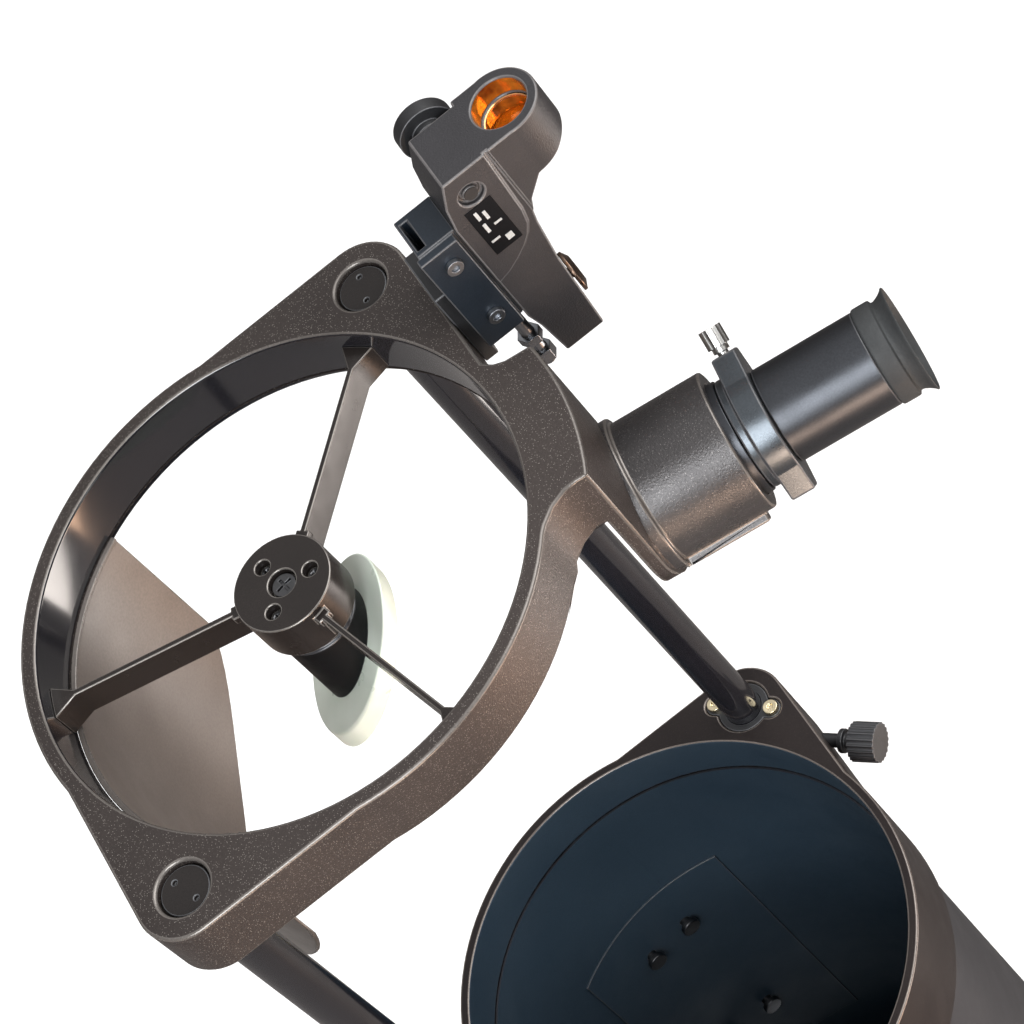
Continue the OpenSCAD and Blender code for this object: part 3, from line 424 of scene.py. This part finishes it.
primary = rounded("primary_mirror", 0.0, glass_ground)
face_split(primary, OPTICS, mirror_face, lambda p, n: n.z > 0.9)
secondary = rounded("secondary_mirror", 0.0012, glass_ground, None, 3)
reflect = Vector((math.cos(FOCUSER_TURN), math.sin(FOCUSER_TURN), -1)).normalized()
face_split(secondary, OPTICS, mirror_face, lambda p, n: n.dot(reflect) > 0.95)


def coil(radius, wire, height, turns):
    """A helical spring standing on z = 0."""
    work = bmesh.new()
    ring = bmesh.ops.create_circle(work, radius=wire, segments=8)["verts"]
    bmesh.ops.rotate(work, verts=ring, cent=(0, 0, 0), matrix=Matrix.Rotation(math.radians(90), 3, "X"))
    bmesh.ops.translate(work, verts=ring, vec=(radius, 0, wire))
    steps = 20 * turns
    start = [e for e in work.edges]
    bmesh.ops.spin(work, geom=ring + start, cent=(0, 0, 0), axis=(0, 0, 1), angle=math.tau * turns,
                   steps=steps, dvec=(0, 0, (height - 2 * wire) / steps), use_merge=False)
    loose = [e for e in work.edges if e.is_boundary]
    bmesh.ops.holes_fill(work, edges=loose, sides=10)
    bmesh.ops.recalc_face_normals(work, faces=work.faces)
    return work


def turned(profile, steps=64):
    """A closed profile of (radius, height) points, spun about Z."""
    work = bmesh.new()
    points = [work.verts.new((r, 0, z)) for r, z in profile]
    edges = [work.edges.new(pair) for pair in zip(points, points[1:] + points[:1])]
    bmesh.ops.spin(work, geom=points + edges, cent=(0, 0, 0), axis=(0, 0, 1), angle=math.tau, steps=steps,
                   use_merge=True)
    bmesh.ops.remove_doubles(work, verts=work.verts, dist=0.000005)
    bmesh.ops.recalc_face_normals(work, faces=work.faces)
    return work


def block(size, middle, soft=0.0):
    """A box with rounded edges."""
    work = bmesh.new()
    bmesh.ops.create_cube(work, size=1.0)
    bmesh.ops.scale(work, verts=work.verts, vec=size)
    bmesh.ops.translate(work, verts=work.verts, vec=middle)
    if soft:
        bmesh.ops.bevel(work, geom=work.edges[:], offset=soft, affect="EDGES", segments=2, profile=0.5,
                        material=-1)
    return work


def joined(parts):
    """Several shapes put into one."""
    whole = bmesh.new()
    for one in parts:
        keep = bpy.data.meshes.new("part")
        one.to_mesh(keep)
        one.free()
        whole.from_mesh(keep)
        bpy.data.meshes.remove(keep)
    return whole


# The finder's window: a dished amber glass, with the bore round it given a painted amber glow that stands
# in for light from its coating.
WINDOW = FINDER @ Matrix.Translation((0.1546, 0.0507, 0))
window_reach = 0.010
# The bore's inner walls take the painted amber glow.
face_split(made["finder_housing"], WINDOW, amber_painted_glow,
           lambda p, n: math.hypot(p.x, p.y) < window_reach + 0.0003 and abs(n.z) < 0.3 and p.z > 0.02
           and n.x * p.x + n.y * p.y < -0.7 * math.hypot(p.x, p.y))
slopes = [step / 12 * math.pi / 2 for step in range(13)]
arc = [(window_reach * math.sin(slope), 0.0013 * math.cos(slope)) for slope in slopes]
dish = turned(arc + [(window_reach, -0.0009), (0.0, -0.0003)])
window_glass = new_piece("window_glass", dish, amber, "truss",
                         WINDOW @ Matrix.Translation((0, 0, 0.0408)))
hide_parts("finder_window")
bead = [(window_reach - 0.0008 + 0.0005 * math.cos(t), 0.0478 + 0.0006 * math.sin(t))
        for t in (k * math.tau / 8 for k in range(8))]
new_piece("window_ring", turned(bead), copper, "truss", WINDOW)

# A dark plate on the finder's side, with a few plain bars.
side = 0.0364
label = block((0.0108, 0.0006, 0.0248), (0.1285, side, 0.028), 0.0002)
new_piece("side_plate", label, plate_black, "truss", FINDER)
# Each bar: place along and across the plate, width and height.
bars = ((0.1262, 0.0362, 0.0012, 0.0044), (0.1288, 0.0345, 0.0012, 0.0044),
        (0.1262, 0.0292, 0.0012, 0.0048), (0.1305, 0.0285, 0.0030, 0.0010),
        (0.1262, 0.0222, 0.0034, 0.0010), (0.1306, 0.0196, 0.0026, 0.0030))
marks = joined([block((width, 0.0007, height), (x, side - 0.0001, z)) for x, z, width, height in bars])
new_piece("side_plate_marks", marks, plate_line, "truss", FINDER)

# The round cover in its recess.
cover = turned([(0.0, 0), (0.0024, 0), (0.0026, 0.0003), (0.0026, 0.0007), (0.0, 0.0007)], 32)
new_piece("battery_cover", cover, plastic_black, "truss",
          FINDER @ Matrix.Translation((0.1294, 0.0374, 0.0458)) @ Matrix.Rotation(math.radians(90), 4, "X"))

# The rubber eyecup: a plain band, a groove and a flared lip.
lip = [(12.5, 204), (17.5, 204), (18.0, 204.4), (18.15, 205), (18.15, 210.2), (18.0, 210.8), (17.4, 211.1),
       (16.9, 211.4), (16.8, 212), (17.1, 213), (17.8, 214.4), (18.8, 215.8), (19.5, 216.4), (19.6, 216.8),
       (19.4, 217), (19.0, 216.9), (17.6, 214.6), (15.9, 212), (14.6, 210.4), (12.5, 209)]
cup = new_piece("eyecup_finished", turned([(r / 1000, z / 1000) for r, z in lip], 96), rubber, "eyepiece",
                FOCUSER)
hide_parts("eyecup")

# Screw thread between the focuser's barrel and its collar.
ridges = [turned([(0.0206, z), (0.02095, z + 0.00025), (0.0206, z + 0.0005)], 72)
          for z in (0.1502, 0.1508, 0.1514, 0.1520)]
new_piece("focus_thread", joined(ridges), dark_steel, "focus_tube", FOCUSER)

# Springs behind the mirror cell.
springs = []
for turn in (90, 210, 330):
    one = coil(0.0055, 0.0008, 0.0138, 6)
    place = Matrix.Rotation(math.radians(turn), 4, "Z") @ Matrix.Translation((0.062, 0, -0.6699))
    bmesh.ops.transform(one, matrix=place, verts=one.verts)
    springs.append(one)
cell_coils = new_piece("cell_coils", joined(springs), steel, "cradle", OPTICS)
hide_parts("cell_springs")


# ---------- studio ----------

def studio():
    """A pale floor, a graded sky and soft panels."""
    bpy.ops.mesh.primitive_plane_add(size=14, location=(0, 0, -0.0005))
    floor = bpy.context.object
    floor.name = "studio_floor"
    mat, nodes, links, shader, here = new_finish("pale_floor")
    tone = noise(nodes, links, here, 3, 2)
    links.new(ramp(nodes, links, tone, [(0.3, (0.9, 0.9, 0.9)), (0.7, (0.93, 0.93, 0.93))]),
              shader.inputs["Base Color"])
    shader.inputs["Roughness"].default_value = 0.8
    shader.inputs["Specular IOR Level"].default_value = 0.1
    # Polished parts see a dimmer floor, a painted shade in their reflections only, and the floor itself
    # stays pale.
    ray = nodes.new("ShaderNodeLightPath")
    dim = nodes.new("ShaderNodeBsdfDiffuse")
    dim.inputs["Color"].default_value = (0.16, 0.15, 0.145, 1)
    either = nodes.new("ShaderNodeMixShader")
    links.new(ray.outputs["Is Glossy Ray"], either.inputs["Fac"])
    links.new(shader.outputs["BSDF"], either.inputs[1])
    links.new(dim.outputs["BSDF"], either.inputs[2])
    links.new(either.outputs["Shader"], nodes["Material Output"].inputs["Surface"])
    floor.data.materials.append(mat)
    world = bpy.data.worlds.new("studio")
    bpy.context.scene.world = world
    world.use_nodes = True
    sky, wires = world.node_tree.nodes, world.node_tree.links
    where = sky.new("ShaderNodeTexCoord").outputs["Generated"]
    tilted = sky.new("ShaderNodeMapping")
    tilted.inputs["Rotation"].default_value = (0, math.radians(90), math.radians(20))
    wires.new(where, tilted.inputs["Vector"])
    fall = sky.new("ShaderNodeTexGradient")
    wires.new(tilted.outputs["Vector"], fall.inputs["Vector"])
    wires.new(ramp(sky, wires, fall.outputs["Fac"], [(0.0, (0.10, 0.085, 0.078)), (0.5, (0.36, 0.34, 0.33)),
                                                     (0.75, (1.0, 1.0, 1.0))]),
              sky["Background"].inputs["Color"])
    sky["Background"].inputs["Strength"].default_value = 0.8

    def panel(name, place, aim, size, power, colour=(1, 1, 1)):
        light = bpy.data.lights.new(name, "AREA")
        light.shape = "RECTANGLE"
        light.size, light.size_y = size
        light.energy = power
        light.color = colour
        lamp = bpy.data.objects.new(name, light)
        lamp.location = place
        lamp.rotation_euler = (Vector(aim) - Vector(place)).to_track_quat("-Z", "Y").to_euler()
        bpy.context.collection.objects.link(lamp)
        lamp.visible_camera = False

    panel("top_panel", (0.2, 0.3, 3.0), (0, 0, 0.5), (2.4, 2.4), 76)
    panel("cool_panel", (1.5, -1.65, 1.35), (0, -0.15, 0.72), (1.1, 1.5), 60, (0.93, 0.97, 1.0))
    panel("low_panel", (1.3, -0.3, 0.2), (0, -0.15, 0.7), (0.5, 0.36), 9, (1.0, 0.72, 0.53))
    panel("warm_panel", (0.75, 1.5, 0.32), (0, -0.2, 0.68), (1.0, 0.5), 13.5, (1.0, 0.92, 0.86))
    panel("brown_panel", (1.2, 0.95, 0.1), (-0.05, -0.25, 0.7), (0.8, 0.7), 16, (1.0, 0.62, 0.40))
    panel("side_panel", (2.6, 0.7, 1.2), (0, -0.1, 0.6), (0.8, 1.6), 20)


def camera():
    """A long lens that looks down on the open front end."""
    lens = bpy.data.cameras.new("view")
    lens.sensor_width = 36
    lens.lens = 132.92
    eye = bpy.data.objects.new("view", lens)
    right = Vector((0.57310, 0.81948, 0.00024))
    up = Vector((-0.52212, 0.36492, 0.77086))
    back = right.cross(up)
    eye.matrix_world = Matrix.Translation((0.822965, -0.743460, 1.523036)) @ Matrix(
        (right, up, back)).transposed().to_4x4()
    bpy.context.collection.objects.link(eye)
    bpy.context.scene.camera = eye


studio()
camera()
bpy.context.scene.view_settings.view_transform = "Standard"
